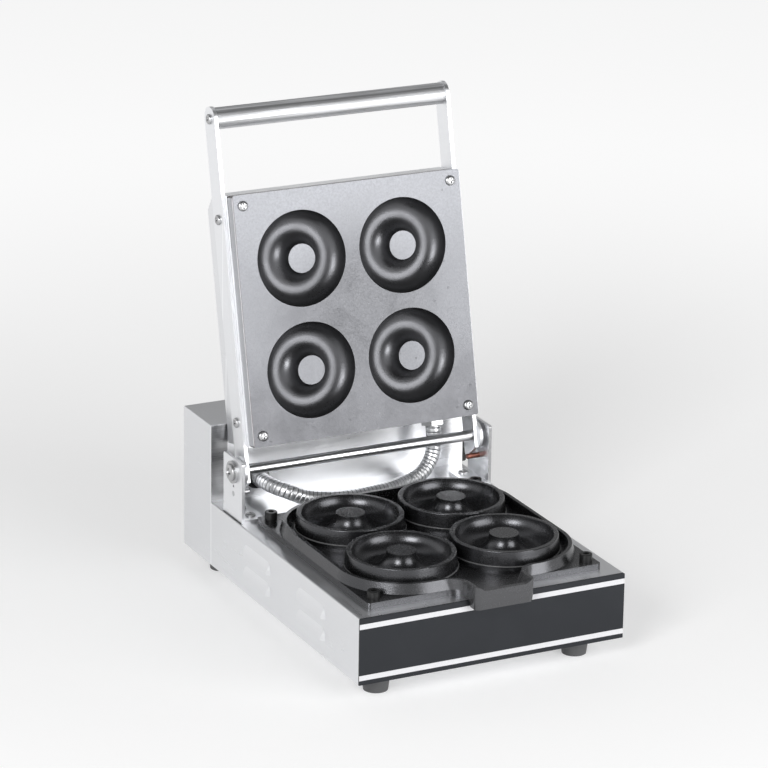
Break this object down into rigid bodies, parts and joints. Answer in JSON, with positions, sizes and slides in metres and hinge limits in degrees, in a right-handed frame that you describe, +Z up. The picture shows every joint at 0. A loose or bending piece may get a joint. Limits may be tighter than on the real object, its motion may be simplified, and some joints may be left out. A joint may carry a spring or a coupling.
{
  "type": "donut waffle maker",
  "caption": "Tabletop electric press for ring-shaped cakes: steel base, cast lower plate with ring cups and a pour spout, hinged lid with matching plate and bar handle, rear control box.",
  "frame": {"origin": "on the floor under the middle of the base's footprint", "axes": "+X to the right, -Y to the front, +Z up; the lid is open, resting on its stop pins"},
  "size_m": [0.282, 0.404, 0.4482],
  "materials": {
    "stainless_sheet": "satin",
    "satin_bar": "satin",
    "polished_bar": "polished",
    "plated_fastener": "bright",
    "black_panel": "satin",
    "dark_casting": "non-stick coat",
    "grey_casting": "non-stick coat",
    "black_bolt": "black oxide",
    "foot_rubber": "matte",
    "copper_pin": "bare",
    "black_rubber": "matte",
    "black_fitting": "satin",
    "conduit_metal": "ribbed",
    "heater_sheath": "dull",
    "ceramic_wool": "fibrous",
    "control_works": "matte",
    "knob_plastic": "gloss",
    "switch_plastic": "matte",
    "rocker_plastic": "gloss",
    "lamp_lens": "clear tint",
    "terminal_plastic": "matte"
  },
  "bodies": {
    "base": {"base_shell": "stainless_sheet", "bottom_plate": "stainless_sheet", "bottom_screws": "plated_fastener", "bracket_screws": "plated_fastener", "conduit_ferrule": "plated_fastener", "conduit_grommet": "black_rubber", "control_nuts": "plated_fastener", "cord_gland": "black_fitting", "flex_conduit": "conduit_metal", "foot_nuts": "plated_fastener", "foot_screws": "plated_fastener", "front_panel": "black_panel", "hinge_bolts": "plated_fastener", "hinge_bracket_left": "satin_bar", "hinge_bracket_right": "satin_bar", "hinge_rod": "polished_bar", "hinge_spacers": "plated_fastener", "hinge_washers": "plated_fastener", "indicator_lamps": "lamp_lens", "lower_clamp_screws": "plated_fastener", "lower_clamps": "satin_bar", "lower_element": "heater_sheath", "lower_heat_shield": "satin_bar", "lower_plate": "dark_casting", "lower_plate_bolts": "black_bolt", "lower_plate_nuts": "plated_fastener", "lower_wool": "ceramic_wool", "rear_box": "stainless_sheet", "rear_cover": "stainless_sheet", "rear_cover_screws": "plated_fastener", "rubber_feet": "foot_rubber", "stop_pins": "copper_pin", "switch_body": "switch_plastic", "terminal_block": "terminal_plastic", "thermostat_body": "control_works", "timer_body": "control_works"},
    "lid": {"upper_plate": "grey_casting", "upper_plate_screws": "plated_fastener", "lid_cover": "stainless_sheet", "lid_blocks": "satin_bar", "lid_arm_left": "satin_bar", "lid_arm_right": "satin_bar", "arm_screws": "plated_fastener", "handle_tube": "polished_bar", "handle_plugs": "plated_fastener", "handle_screws": "plated_fastener", "upper_element": "heater_sheath", "upper_clamps": "satin_bar", "upper_clamp_screws": "plated_fastener", "upper_wool": "ceramic_wool", "conduit_nuts": "plated_fastener", "conduit_neck": "plated_fastener"},
    "timer_knob": {"timer_knob": "knob_plastic"},
    "thermostat_knob": {"thermostat_knob": "knob_plastic"},
    "switch_rocker": {"switch_rocker": "rocker_plastic"}
  },
  "joints": [
    {"name": "lid_hinge", "type": "hinge", "parent": "base", "child": "lid", "pos_m": [0, 0.08, 0.126], "axis": [1, 0, 0], "range_deg": [0, 102.6], "deforming": ["flex_conduit"]},
    {"name": "timer_turn", "type": "hinge", "parent": "base", "child": "timer_knob", "pos_m": [0.13, 0.155, 0.13], "axis": [-1, 0, 0], "range_deg": [0, 300]},
    {"name": "thermostat_turn", "type": "hinge", "parent": "base", "child": "thermostat_knob", "pos_m": [0.13, 0.155, 0.084], "axis": [-1, 0, 0], "range_deg": [0, 270]},
    {"name": "switch_rock", "type": "hinge", "parent": "base", "child": "switch_rocker", "pos_m": [0.13, 0.155, 0.038], "axis": [0, 1, 0], "range_deg": [0, 20]}
  ]
}
